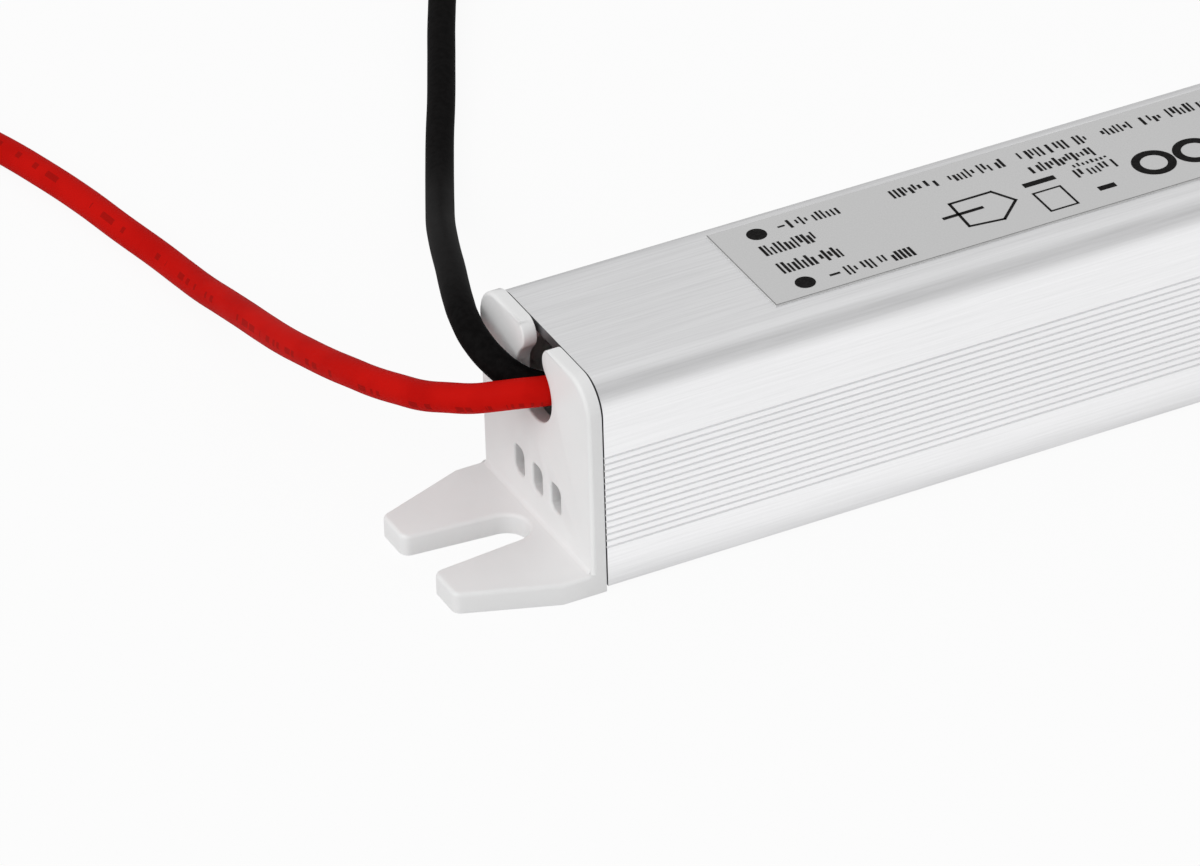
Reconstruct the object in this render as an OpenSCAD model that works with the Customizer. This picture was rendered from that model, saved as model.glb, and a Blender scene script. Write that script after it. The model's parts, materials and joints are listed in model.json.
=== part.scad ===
// Slim LED driver: a grooved aluminium tube with a moulded cap at each end.
// The circuit board slides in rails inside the tube, and two leads leave the output cap.

/* [Housing] */
// Length of the aluminium tube
housing_len = 160; // [158:1:220]
// Outside width of the tube
housing_w = 18; // [18:0.25:24]
// Outside height of the tube
housing_h = 18; // [18:0.25:24]
// Wall thickness of the tube
wall = 0.9; // [0.8:0.05:1.3]
// Radius of the two long top edges
top_edge_r = 2.7; // [2:0.1:3.5]
// Number of grooves on each side
groove_count = 15; // [3:1:18]
// Spacing of the grooves
groove_pitch = 0.58; // [0.5:0.01:0.65]
// Width of a groove at the surface
groove_w = 0.3; // [0.2:0.02:0.4]
// Depth of a groove
groove_depth = 0.2; // [0.1:0.02:0.3]
// Height of the lowest groove above the underside of the tube
groove_z = 3.55; // [1:0.05:5]
// How far the board rails stand in from the side walls
rail_depth = 0.9; // [0.6:0.05:1.1]
// Thickness of a board rail
rail_t = 0.8; // [0.6:0.05:1.2]

/* [End caps] */
// Thickness of the cap's flange
flange_t = 1.15; // [1.1:0.05:2.5]
// How far the flange stands proud of the tube all round
flange_lip = 0.25; // [0.1:0.05:0.6]
// Radius of the flange's soft outer edge
rim_r = 0.35; // [0.3:0.05:0.9]
// Gap between the flange and the end of the tube
joint_gap = 0.25; // [0.05:0.01:0.3]
// How far the plug reaches into the tube
plug_depth = 6; // [3:0.5:6.5]
// Wall thickness of the plug
plug_wall = 1.2; // [0.8:0.1:1.6]
// Clearance of the plug inside the tube
plug_clear = 0.1; // [0.05:0.01:0.2]
// Radius of the round part of the lead notch
notch_r = 2.95; // [2.6:0.05:3.2]
// Height of the middle of the notch above the underside of the tube
notch_z = 13.7; // [12.8:0.05:14]
// Radius of the two rounded lips that close over the notch
lip_r = 1.35; // [1.2:0.05:1.8]
// Number of vent slots
vent_count = 3; // [1:1:4]
// Spacing of the vent slots
vent_pitch = 3.1; // [2.2:0.1:3.5]
// Width of a vent slot
vent_w = 1.7; // [1.2:0.1:2]
// Height of a vent slot
vent_h = 2.5; // [2:0.1:3.5]
// Height of the vents above the underside of the tube
vent_z = 3.8; // [3:0.1:5]

/* [Mounting foot] */
// Thickness of the foot
foot_t = 1.8; // [1.2:0.1:2.6]
// How far the foot reaches out from the flange
foot_reach = 10.4; // [9:0.1:16]
// Length of the foot that has the full width of the cap
foot_straight = 2.6; // [1:0.1:4]
// Width of the foot at its tip
foot_tip_w = 12.6; // [10:0.1:16]
// Radius of the corners of the two prongs
prong_r = 0.8; // [0.3:0.05:1.1]
// Width of the screw slot at its closed end
slot_w = 3.8; // [3.2:0.1:4.4]
// Width of the screw slot at its mouth
slot_mouth_w = 5.2; // [4.6:0.1:6]
// Web between the closed end of the slot and the flange
slot_web = 1; // [0.6:0.1:2]
// Radius of the fillet between foot and flange
foot_fillet = 0.4; // [0.2:0.05:0.8]

/* [Rating label] */
// Distance from each end of the tube to the label
label_inset = 16.9; // [5:0.1:40]
// Width of the label
label_w = 11.5; // [6:0.1:11.8]
// Offset of the label from the middle of the top
label_shift = 0.5; // [-0.6:0.05:0.6]
// Thickness of the label foil
label_t = 0.1; // [0.05:0.01:0.2]

/* [Board] */
// Thickness of the circuit board
board_t = 1.2; // [0.8:0.1:1.6]
// Height of the board above the inner floor
board_gap = 2.3; // [2:0.1:2.6]
// Side clearance of the board in its rails
board_clear = 0.15; // [0.05:0.05:0.3]
// Clearance over the board in its rails
rail_play = 0.1; // [0.05:0.05:0.3]
// Gap from each plug to the end of the board
board_end_gap = 1; // [0.2:0.1:1.5]
// Thickness of the insulating sheet
sheet_t = 0.25; // [0.1:0.05:0.5]
// Diameter of a round component leg
leg_d = 0.6; // [0.4:0.05:0.8]
// Diameter of a leg hole in the board
hole_d = 0.9; // [0.85:0.05:1.1]
// Height of a solder cone under the board
solder_h = 0.9; // [0.5:0.05:1.2]
// Diameter of a solder cone at the board
solder_d = 1.7; // [1.3:0.05:1.9]
// Space between neighbouring components
part_gap = 1; // [0.8:0.1:1.2]
// Space kept free under the ceiling of the tube
head_gap = 0.8; // [0.4:0.1:1.5]
// Space kept free beside a part that stands close to the side walls
wall_gap = 0.4; // [0.2:0.1:1]

/* [Output side components] */
// Distance from the end of the tube to the lead pads
lead_pad_inset = 14; // [12:0.5:15]
// Diameter of the output capacitors
out_cap_d = 8; // [6.5:0.5:9]
// Height of the output capacitors
out_cap_h = 11; // [8:0.5:11.5]
// Diameter of the output choke
choke_d = 8; // [6.5:0.5:9]
// Height of the output choke
choke_h = 9.5; // [7:0.5:11]
// Body diameter of the output rectifier
rectifier_d = 5.2; // [4:0.2:6]
// Body length of the output rectifier
rectifier_len = 9; // [7:0.5:9.5]
// Diameter of the safety capacitor
safety_cap_d = 8; // [7:0.5:9]
// Thickness of the safety capacitor
safety_cap_t = 3.8; // [3:0.2:4.4]

/* [Transformer and switching] */
// Side length of the transformer core
core_w = 13; // [12.6:0.1:13.6]
// Thickness of the transformer core
core_t = 4.8; // [4:0.2:5.2]
// Width of each winding window in the core
window_w = 2.6; // [2.4:0.1:2.8]
// Width of the core's yokes and outer legs
yoke_w = 2; // [1.6:0.1:2.2]
// Height of the bobbin's pin rails
pin_rail_h = 2.6; // [2.4:0.1:3]
// Diameter of the bulk capacitor
bulk_d = 10; // [8:0.5:11]
// Length of the bulk capacitor
bulk_len = 18; // [14:1:19]

/* [Input side components] */
// Width of the line choke core across the board
line_core_w = 12; // [11:0.5:12.5]
// Height of the line choke core
line_core_h = 10; // [9:0.5:11.5]
// Thickness of the line choke core along the board
line_core_t = 4; // [3.6:0.1:4.4]
// Width of the line choke core's bars
line_bar = 2.8; // [2.4:0.1:3]
// Thickness of the line choke windings
line_coil_t = 1.3; // [1:0.1:1.4]
// Length of the line capacitor across the board
line_cap_len = 13; // [11:0.5:13.5]
// Thickness of the line capacitor
line_cap_t = 5; // [4:0.5:6]
// Height of the line capacitor
line_cap_h = 10.5; // [8:0.5:11.5]
// Diameter of the varistor
varistor_d = 7.5; // [7:0.5:8.5]
// Diameter of the inrush thermistor
thermistor_d = 7; // [6.5:0.5:8.5]
// Thickness of the varistor and the thermistor
disc_t = 3.6; // [3:0.2:4.2]
// Diameter of the fuse
fuse_d = 3.6; // [3:0.2:4]
// Length of the fuse
fuse_len = 9; // [7:0.5:9.5]
// Distance from the board's end to the input pads
input_pad_inset = 3; // [2.5:0.5:4]

/* [Leads] */
// Outside diameter of a lead
lead_d = 2.4; // [1.8:0.1:2.4]
// Diameter of the stripped conductor
core_d = 1.1; // [0.8:0.05:1.3]
// Length of the stripped end
strip_len = 7; // [3:0.5:12]

/* [Hidden] */
$fn = 48;

// Overrun of a cut past the face that it opens
cut = 0.5;
// Overlap of a leg into the body that it belongs to
root = 0.3;
// Overlap of a corner arc over the two edges that it joins
blend = 0.003;

// Tube
end_x = housing_len / 2;
tube_z = flange_lip;
inner_w = housing_w - 2 * wall;
inner_h = housing_h - 2 * wall;
inner_r = top_edge_r - wall;
floor_z = tube_z + wall;
ceiling_z = floor_z + inner_h;
top_z = tube_z + housing_h;

// Board and rails
board_z = floor_z + board_gap;
board_top = board_z + board_t;
board_w = inner_w - 2 * board_clear;
board_x0 = -end_x + plug_depth + board_end_gap;
board_x1 = -board_x0;
rail_low_z = board_z - rail_t;
rail_high_z = board_top + rail_play;
sheet_fold = rail_low_z - floor_z - sheet_t;
rail_y = inner_w / 2 - rail_depth;
leg_y = rail_y - solder_d / 2 - 0.1;
body_y = rail_y - 0.15;

// End cap
cap_w = housing_w + 2 * flange_lip;
cap_h = housing_h + 2 * flange_lip;
cap_r = top_edge_r + flange_lip;
face_x = -joint_gap - flange_t;
plug_w = inner_w - 2 * plug_clear;
plug_h = inner_h - 2 * plug_clear;
plug_r = inner_r - plug_clear;
notch_mid = tube_z + notch_z;
lip_mid = cap_h - lip_r;
lip_y = sqrt(pow(notch_r + lip_r, 2) - pow(lip_mid - notch_mid, 2));
slot_mid = slot_web + slot_w / 2;

// Surface-mounted packages: length, width, height, reach of the legs, legs on a side, pitch
chip_size = [4.9, 3.9, 1.5, 3, 4, 1.27];
opto_size = [4.6, 4.4, 2.1, 3.5, 2, 2.54];
foot_w = 0.4;
foot_h = 0.2;
foot_rise = 0.3;
chip_side_gap = 0.4;

// Dual in-line package
dip_pitch = 2.54;
dip_row = 7.62;
dip_w = 6.4;
dip_h = 3.4;
dip_lift = 0.5;
bridge_len = 8.4;
blade_w = 0.5;
blade_t = 0.25;

// Small axial and radial parts
lead_bend = 1.6;
snub_diode_d = 2.7;
snub_diode_len = 5.2;
snub_res_d = 2.4;
snub_res_len = 6.3;
snub_cap_len = 7.2;
snub_cap_t = 2.5;
snub_cap_h = 6.5;
small_pitch = 5;
disc_lift = 0.6;
part_lift = 0.1;
pad_reach = 2.6;
drum_t = 1.6;
coil_clear = 0.1;

// Space over the board, and parts that stay clear of the ceiling and the side walls
head_h = ceiling_z - board_top - head_gap;
can_h = min(out_cap_h, head_h - part_lift);
drum_h = min(choke_h, head_h);
bulk_dia = min(bulk_d, head_h - part_lift);
line_frame_h = min(line_core_h, head_h);
line_box_h = min(line_cap_h, head_h - part_lift);
line_frame_w = min(line_core_w, inner_w - 2 * line_coil_t - 2 * wall_gap);
line_box_len = min(line_cap_len, 2 * body_y);
rectifier_l = min(rectifier_len, 2 * (leg_y - lead_bend * 0.7));
fuse_l = min(fuse_len, 2 * (leg_y - lead_bend * 0.7));
switch_len = snub_res_len + 2 * lead_bend;

// A shorter board carries smaller parts: row shrinks their lengths until the row fits
pads_x = -end_x + lead_pad_inset;
pads_y = 2.5;
row_need = 2 * pad_reach + 2 * out_cap_d + choke_d + rectifier_d + safety_cap_d + core_w + switch_len
    + snub_cap_t + bulk_len + lead_bend + bridge_len + line_core_t + 2 * line_coil_t + line_cap_t
    + max(varistor_d, thermistor_d) + fuse_d + input_pad_inset + 13 * part_gap;
row = min(1, (board_x1 - pads_x) / row_need);
can_d = row * out_cap_d;
drum_d = row * choke_d;
choke_waist = drum_d * 0.4;
choke_leg = drum_d * 0.33;
rectifier_dia = row * rectifier_d;
safety_d = row * safety_cap_d;
ferrite_w = row * core_w;
chip_len = row * switch_len;
snub_t = row * snub_cap_t;
bulk_l = row * bulk_len;
bridge_l = row * bridge_len;
line_frame_t = row * line_core_t;
line_wire_t = row * line_coil_t;
line_box_t = row * line_cap_t;
varistor_dia = row * varistor_d;
thermistor_dia = row * thermistor_d;
disc_d = max(varistor_dia, thermistor_dia);
fuse_dia = row * fuse_d;
gap = row * part_gap;
reach = row * pad_reach;
bend = row * lead_bend;

// Components in a row from the output end
cap_b_x = pads_x + reach + can_d / 2;
choke_x = cap_b_x + can_d / 2 + gap + drum_d / 2;
cap_a_x = choke_x + drum_d / 2 + gap + can_d / 2;
rectifier_x = cap_a_x + can_d / 2 + gap + rectifier_dia / 2;
opto_x = rectifier_x + rectifier_dia / 2 + gap + safety_d / 2;
opto_y = opto_size[3] - body_y;
safety_y = body_y - safety_cap_t / 2;
transformer_x = opto_x + safety_d / 2 + gap + ferrite_w / 2;
chip_x = transformer_x + ferrite_w / 2 + gap + chip_len / 2;
side_y = chip_size[3] + chip_side_gap + snub_diode_d / 2;
snub_cap_x = chip_x + chip_len / 2 + gap + snub_t / 2;
bulk_x0 = snub_cap_x + snub_t / 2 + gap;
bulk_leg_x = bulk_x0 + bulk_l + bend;

// Components in a row from the input end
input_x = board_x1 - input_pad_inset;
input_y = 3.5;
fuse_x = input_x - reach - fuse_dia / 2;
discs_x = fuse_x - fuse_dia / 2 - gap - disc_d / 2;
disc_y = body_y - disc_t / 2;
line_cap_x = discs_x - disc_d / 2 - gap - line_box_t / 2;
line_coil_x = line_frame_t / 2 + line_wire_t;
line_choke_x = line_cap_x - line_box_t / 2 - gap - line_coil_x;
bridge_x = line_choke_x - line_coil_x - gap - bridge_l / 2;

// Transformer
core_z = board_top + pin_rail_h + core_t / 2;
leg_w = ferrite_w - 2 * window_w - 2 * yoke_w;
window_len = ferrite_w - 2 * yoke_w;
bobbin_clear = 0.1;
bobbin_wall = 0.5;
bobbin_flange = 0.6;
coil_t = window_w - bobbin_wall - 3 * bobbin_clear;
tube_y = leg_w + 2 * bobbin_clear;
tube_h = core_t + 2 * bobbin_clear;
coil_y = tube_y + 2 * bobbin_wall + 2 * coil_t;
coil_h = tube_h + 2 * bobbin_wall + 2 * coil_t;
coil_len = window_len - 2 * bobbin_clear - 2 * bobbin_flange;
pin_rail_x = window_len / 2 - bobbin_clear;
pin_rail_w = ferrite_w - 1;
pin_pitch = (pin_rail_w - 2) / 3;

// Line choke
line_window_h = line_frame_h - 2 * line_bar;
line_leg_y = line_frame_w / 2 - line_bar / 2;
line_leg_x = line_coil_x - line_wire_t / 2;

// Legs of each component as places on the board
function pair_y(x, y, pitch) = [[x, y - pitch / 2], [x, y + pitch / 2]];
function pair_x(x, y, pitch) = [[x - pitch / 2, y], [x + pitch / 2, y]];
function dip_legs(x, y, n) = [
    for (i = [0 : n - 1], s = [-1, 1])
        [x + (i - (n - 1) / 2) * dip_pitch, y + s * dip_row / 2]
];
cap_a_legs = pair_y(cap_a_x, 0, can_d * 0.45);
cap_b_legs = pair_y(cap_b_x, 0, can_d * 0.45);
choke_legs = pair_y(choke_x, 0, 2 * choke_leg);
rectifier_legs = pair_y(rectifier_x, 0, 2 * leg_y);
safety_legs = pair_x(opto_x, safety_y, small_pitch);
transformer_legs = [
    for (s = [-1, 1], i = [-1.5 : 1 : 1.5])
        [transformer_x + s * (pin_rail_x + yoke_w / 2), i * pin_pitch]
];
snub_diode_legs = pair_x(chip_x, side_y, chip_len - leg_d);
snub_res_legs = pair_x(chip_x, -side_y, chip_len - leg_d);
snub_cap_legs = pair_y(snub_cap_x, 0, small_pitch);
bulk_legs = pair_y(bulk_leg_x, 0, bulk_dia / 2);
bridge_legs = dip_legs(bridge_x, 0, 2);
line_choke_legs = [
    for (sx = [-1, 1], sy = [-1, 1])
        [line_choke_x + sx * line_leg_x, sy * line_leg_y]
];
line_cap_legs = pair_y(line_cap_x, 0, line_box_len - 3);
varistor_legs = pair_x(discs_x, disc_y, small_pitch);
thermistor_legs = pair_x(discs_x, -disc_y, small_pitch);
fuse_legs = pair_y(fuse_x, 0, 2 * leg_y);
lead_pads = pair_y(pads_x, 0, 2 * pads_y);
input_pads = pair_y(input_x, 0, 2 * input_y);
all_legs = concat(
    cap_a_legs, cap_b_legs, choke_legs, rectifier_legs, safety_legs, transformer_legs, snub_diode_legs,
    snub_res_legs, snub_cap_legs, bulk_legs, bridge_legs, line_choke_legs, line_cap_legs, varistor_legs,
    thermistor_legs, fuse_legs
);

// Routes of the leads from the board to the bare ends, measured from the output end of the tube
red_route = [
    [14, -2.5, 6], [14, -2.5, 8], [13.3, -2.5, 10.6], [11.4, -2.5, 12.7], [8.5, -2.4, 13.8], [5, -2.4, 14.1],
    [2.5, -2.1, 14.2], [0.5, -1.8, 14.2], [-1.2, -1.3, 14.1], [-2.8, -0.6, 14], [-4.3, 0.5, 13.6],
    [-5.6, 2.1, 12.9], [-6.8, 4, 12.3], [-7.8, 6.3, 11.5], [-8.6, 9, 10.8], [-9.3, 11.8, 10.1],
    [-9.8, 14.8, 9.4], [-10.1, 18, 8.5], [-10.3, 22, 7.4], [-10.3, 26, 6.2], [-10.1, 30.4, 4.9],
    [-9.9, 34.8, 3.7], [-9.8, 39, 2.6], [-9.9, 42.8, 1.8], [-10.1, 46.2, 1.4], [-10.5, 50, 1.2],
    [-11.4, 55, 1.2], [-12.3, 60.5, 1.2], [-13.5, 66, 1.2], [-15, 71.5, 1.2], [-17, 77, 1.2],
    [-19.5, 82.5, 1.2], [-22.5, 88, 1.2], [-26, 93, 1.2], [-30, 97.5, 1.2], [-34.5, 101.5, 1.2],
    [-39, 105.5, 1.2], [-43.5, 109.5, 1.2], [-48, 113.5, 1.2]
];
black_route = [
    [14, 2.5, 6], [14, 2.5, 7.4], [13.4, 2.4, 9.5], [11.9, 2, 11.3], [9.6, 1.4, 12.3], [7.3, 0.9, 12.5],
    [5.2, 0.4, 12.5], [3.1, 0.1, 12.5], [1.3, 0.3, 12.7], [-0.5, 0.8, 13.1], [-2, 1.8, 13.8],
    [-3, 3.4, 14.7], [-3.4, 5.7, 15.5], [-3, 8.5, 15.8], [-2, 11.6, 15.4], [-0.6, 15.2, 14.4],
    [1.3, 19.8, 12.8], [3.6, 25.4, 10.6], [6, 31, 8.2], [8.4, 36.4, 5.8], [10.9, 41.7, 3.7],
    [13.2, 46.5, 2.1], [15.1, 50.4, 1.4], [17.5, 55.2, 1.2], [20, 60, 1.2], [23, 66, 1.2], [26, 72, 1.2],
    [29, 77.5, 1.2], [32.5, 82.5, 1.2], [36.5, 87, 1.2], [41, 91, 1.2], [46, 94, 1.2], [51.5, 96, 1.2],
    [57.5, 97.5, 1.2], [63.5, 98.5, 1.2]
];
lead_sides = 8;
lead_origin = [-end_x, 0, 0];

// Vectors
function unit(v) = v / norm(v);
function direction(path, i) =
    let (last = len(path) - 1)
    unit(path[min(i + 1, last)] - path[max(i - 1, 0)]);

// Ring of points square to the route at point i
function ring(path, i, r) =
    let (
        t = direction(path, i),
        side = unit(cross(t, [1, 1, 1])),
        up = cross(side, t)
    )
    [
        for (k = [0 : lead_sides - 1])
            path[i] + r * (cos(360 * k / lead_sides) * side + sin(360 * k / lead_sides) * up)
    ];

// Centre of the arc that rounds the corner p between the edges to a and b
function arc_mid(p, a, b, r) =
    let (
        u = unit(a - p),
        v = unit(b - p),
        half = acos(u * v) / 2
    )
    p + unit(u + v) * r / sin(half);

// Where that arc meets the edge from p to a
function arc_end(p, a, b, r) =
    let (
        u = unit(a - p),
        v = unit(b - p),
        half = acos(u * v) / 2
    )
    p + u * r / tan(half);

// Rectangle that stands on the X axis with its two top corners rounded
module tunnel(w, h, r) {
    translate([-w / 2, 0]) square([w, h - r]);
    translate([r - w / 2, 0]) square([w - 2 * r, h]);
    for (s = [-1, 1]) {
        translate([s * (w / 2 - r), h - r]) circle(r);
    }
}

// Rectangle about the origin with four rounded corners
module rounded_slot(w, h, r) {
    square([w, h - 2 * r], center = true);
    square([w - 2 * r, h], center = true);
    for (sx = [-1, 1], sy = [-1, 1]) {
        translate([sx * (w / 2 - r), sy * (h / 2 - r)]) circle(r);
    }
}

// Section in Y and Z carried along X
module along_x(l) {
    rotate([90, 0, 90]) linear_extrude(l) children();
}

// Section of the aluminium tube
module tube_section() {
    open_w = groove_w / 2 * (groove_depth + cut) / groove_depth;
    difference() {
        tunnel(housing_w, housing_h, top_edge_r);
        difference() {
            translate([0, wall]) tunnel(inner_w, inner_h, inner_r);
            for (s = [0, 1], z = [rail_low_z, rail_high_z]) {
                mirror([s, 0])
                    translate([inner_w / 2 - rail_depth, z - tube_z])
                        square([rail_depth + wall / 2, rail_t]);
            }
        }
        for (s = [0, 1], i = [0 : groove_count - 1]) {
            mirror([s, 0])
                translate([housing_w / 2, groove_z + i * groove_pitch])
                    polygon([[cut, -open_w], [cut, open_w], [-groove_depth, 0]]);
        }
    }
}

module housing() {
    color("#d9d9d9")
        translate([-end_x, 0, tube_z]) along_x(housing_len) tube_section();
}

// Section of the flange's soft rim, from the front face back
module rim_section() {
    translate([-blend, 0]) square([blend, flange_t]);
    translate([0, rim_r]) square([rim_r, flange_t - rim_r]);
    intersection() {
        translate([0, rim_r]) circle(rim_r);
        square(rim_r);
    }
}

// Keyhole notch: a round hole that opens upwards between two rounded lips
module notch() {
    translate([0, notch_mid]) circle(notch_r);
    difference() {
        polygon([
            [0, notch_mid], [lip_y, lip_mid], [lip_y, cap_h + cut], [-lip_y, cap_h + cut], [-lip_y, lip_mid]
        ]);
        for (s = [-1, 1]) {
            translate([s * lip_y, lip_mid]) circle(lip_r + blend);
        }
    }
}

// Flange seen on its face: X across, Y up, Z into the tube; a soft rim runs up its sides and over its top
module flange() {
    side_h = cap_h - cap_r;
    difference() {
        union() {
            linear_extrude(flange_t) tunnel(cap_w - 2 * rim_r, cap_h - rim_r, cap_r - rim_r);
            for (s = [0, 1]) {
                mirror([s, 0, 0]) {
                    translate([cap_w / 2 - rim_r, side_h, 0])
                        rotate([90, 0, 0]) linear_extrude(side_h) rim_section();
                    translate([cap_w / 2 - cap_r, side_h, 0])
                        rotate_extrude(angle = 90) translate([cap_r - rim_r, 0]) rim_section();
                }
            }
            translate([cap_r - cap_w / 2, cap_h - rim_r, 0]) along_x(cap_w - 2 * cap_r) rim_section();
        }
        translate([0, 0, -cut]) linear_extrude(flange_t + 2 * cut) notch();
    }
}

module vents() {
    for (i = [0 : vent_count - 1]) {
        translate([(i - (vent_count - 1) / 2) * vent_pitch, tube_z + vent_z + vent_h / 2])
            rounded_slot(vent_w, vent_h, vent_w * 0.35);
    }
}

// Section of the plug: a thin sleeve, open round the board rails and under the notch
module plug_section() {
    rails_h = rail_high_z + rail_t - rail_low_z;
    difference() {
        translate([0, floor_z + plug_clear]) tunnel(plug_w, plug_h, plug_r);
        translate([0, floor_z + plug_clear + plug_wall])
            tunnel(plug_w - 2 * plug_wall, plug_h - 2 * plug_wall, plug_r);
        translate([-inner_w / 2, rail_low_z - plug_clear]) square([inner_w, rails_h + 2 * plug_clear]);
        translate([-notch_r - plug_clear, notch_mid]) square([2 * (notch_r + plug_clear), cap_h]);
    }
}

// One half of the foot in plan, from the flange out along -X
module half_foot() {
    tip_out = [-foot_reach, foot_tip_w / 2];
    tip_in = [-foot_reach, slot_mouth_w / 2];
    shoulder = [-foot_straight, cap_w / 2];
    throat = [-slot_mid, slot_w / 2];
    difference() {
        union() {
            polygon([
                [flange_t, 0], [flange_t, cap_w / 2], shoulder,
                arc_end(tip_out, shoulder, tip_in, prong_r), arc_mid(tip_out, shoulder, tip_in, prong_r),
                arc_end(tip_out, tip_in, shoulder, prong_r), arc_end(tip_in, tip_out, throat, prong_r),
                arc_mid(tip_in, tip_out, throat, prong_r), arc_end(tip_in, throat, tip_out, prong_r),
                throat, [-slot_mid, 0]
            ]);
            translate(arc_mid(tip_out, shoulder, tip_in, prong_r)) circle(prong_r + blend);
            translate(arc_mid(tip_in, tip_out, throat, prong_r)) circle(prong_r + blend);
        }
        translate([-slot_mid, 0]) circle(slot_w / 2 + blend);
    }
}

module foot() {
    linear_extrude(foot_t) {
        half_foot();
        mirror([0, 1]) half_foot();
    }
    translate([0, rim_r - cap_w / 2, foot_t])
        rotate([-90, 0, 0]) linear_extrude(cap_w - 2 * rim_r)
            difference() {
                translate([-foot_fillet, -foot_fillet]) square([foot_fillet + flange_t / 2, foot_fillet]);
                translate([-foot_fillet, -foot_fillet]) circle(foot_fillet);
            }
}

// One moulding; X = 0 is the end of the tube and the foot points along -X
module end_cap() {
    difference() {
        union() {
            translate([face_x, 0, 0]) {
                rotate([90, 0, 90]) flange();
                foot();
            }
            translate([-joint_gap, 0, 0]) along_x(joint_gap + plug_depth) plug_section();
        }
        translate([face_x - cut, 0, 0]) along_x(flange_t + 2 * cut) vents();
    }
}

module output_end_cap() {
    color("#ebebeb") translate([-end_x, 0, 0]) end_cap();
}

module input_end_cap() {
    color("#ebebeb") rotate([0, 0, 180]) translate([-end_x, 0, 0]) end_cap();
}

module rating_label() {
    color("#c2c2c2")
        translate([label_inset - end_x, label_shift - label_w / 2, top_z])
            cube([housing_len - 2 * label_inset, label_w, label_t]);
}

// Film tray under the board, with its long edges folded up against the walls
module insulating_sheet() {
    sheet_w = inner_w - 2 * plug_clear;
    color("#f3f0dc")
        translate([board_x0, 0, floor_z]) along_x(board_x1 - board_x0)
            difference() {
                translate([-sheet_w / 2, 0]) square([sheet_w, sheet_t + sheet_fold]);
                translate([sheet_t - sheet_w / 2, sheet_t]) square([sheet_w - 2 * sheet_t, sheet_fold + cut]);
            }
}

module circuit_board() {
    color("#2f6b3a")
        difference() {
            translate([board_x0, -board_w / 2, board_z]) cube([board_x1 - board_x0, board_w, board_t]);
            for (p = all_legs) {
                translate([p.x, p.y, board_z - cut]) cylinder(d = hole_d, h = board_t + 2 * cut);
            }
            for (p = concat(lead_pads, input_pads)) {
                translate([p.x, p.y, board_z - cut]) cylinder(d = core_d + 0.3, h = board_t + 2 * cut);
            }
        }
}

module solder_joints() {
    color("#c9ccd0")
        for (p = concat(all_legs, lead_pads)) {
            translate([p.x, p.y, board_z - solder_h]) cylinder(d1 = leg_d, d2 = solder_d, h = solder_h);
        }
}

// Stripped inner ends of the leads, down through the board
module lead_tails() {
    tail_top = red_route[0].z;
    color("#c9a06a")
        for (p = lead_pads) {
            translate([p.x, p.y, board_z]) cylinder(d = core_d, h = tail_top - board_z);
        }
}

// Straight legs from the underside of the board up to a height
module legs(places, top) {
    for (p = places) {
        translate([p.x, p.y, board_z]) cylinder(d = leg_d, h = top - board_z);
    }
}

// Electrolytic can along +Z with its crimped bead and scored top
module can(d, h) {
    bead = 0.45;
    score = 0.15;
    difference() {
        cylinder(d = d, h = h);
        translate([0, 0, 1.8]) rotate_extrude() translate([d / 2 + bead / 3, 0]) circle(bead);
        for (a = [0, 90]) {
            rotate([0, 0, a]) translate([-d / 3, -score, h - score]) cube([d / 1.5, 2 * score, score + cut]);
        }
    }
}

module output_capacitor(x, places) {
    legs(places, board_top + part_lift + root);
    translate([x, 0, board_top + part_lift]) can(can_d, can_h);
}

module output_capacitor_a() {
    color("#2a3f6b") output_capacitor(cap_a_x, cap_a_legs);
}

module output_capacitor_b() {
    color("#2a3f6b") output_capacitor(cap_b_x, cap_b_legs);
}

// Ferrite drum: two discs on a waist, the lower one slotted for the ends of the winding
module output_choke_core() {
    slot = leg_d + 2 * coil_clear;
    color("#3a3a3c")
        translate([choke_x, 0, board_top])
            difference() {
                union() {
                    cylinder(d = drum_d, h = drum_t);
                    cylinder(d = choke_waist, h = drum_h);
                    translate([0, 0, drum_h - drum_t]) cylinder(d = drum_d, h = drum_t);
                }
                for (s = [0, 1]) {
                    mirror([0, s, 0])
                        translate([-slot / 2, choke_leg - slot / 2, -cut]) cube([slot, drum_d, drum_t + cut]);
                }
            }
}

// Winding in the waist of the drum, with its two ends led down through the slots
module output_choke_winding() {
    low = board_top + drum_t + coil_clear;
    color("#b5713a") {
        translate([choke_x, 0, low])
            difference() {
                cylinder(d = drum_d - 0.4, h = drum_h - 2 * drum_t - 2 * coil_clear);
                translate([0, 0, -cut]) cylinder(d = choke_waist + 2 * coil_clear, h = drum_h);
            }
        legs(choke_legs, low + root);
    }
}

// Body along an axis over the board, with its leads bent down into their holes
module axial(places, d, l, band) {
    mid = (places[0] + places[1]) / 2;
    span = norm(places[1] - places[0]);
    z = board_top + part_lift + d / 2;
    turn = abs(places[1].x - places[0].x) > abs(places[1].y - places[0].y) ? 0 : 90;
    legs(places, z);
    translate([mid.x, mid.y, z]) rotate([0, 0, turn]) rotate([0, 90, 0]) {
        cylinder(d = d, h = l, center = true);
        cylinder(d = leg_d + 0.1, h = span + leg_d, center = true);
        for (s = band) {
            translate([0, 0, s * l * 0.36]) cylinder(d = d + 0.2, h = l * 0.2, center = true);
        }
    }
}

module output_rectifier() {
    color("#26262a") axial(rectifier_legs, rectifier_dia, rectifier_l, [1]);
}

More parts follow.
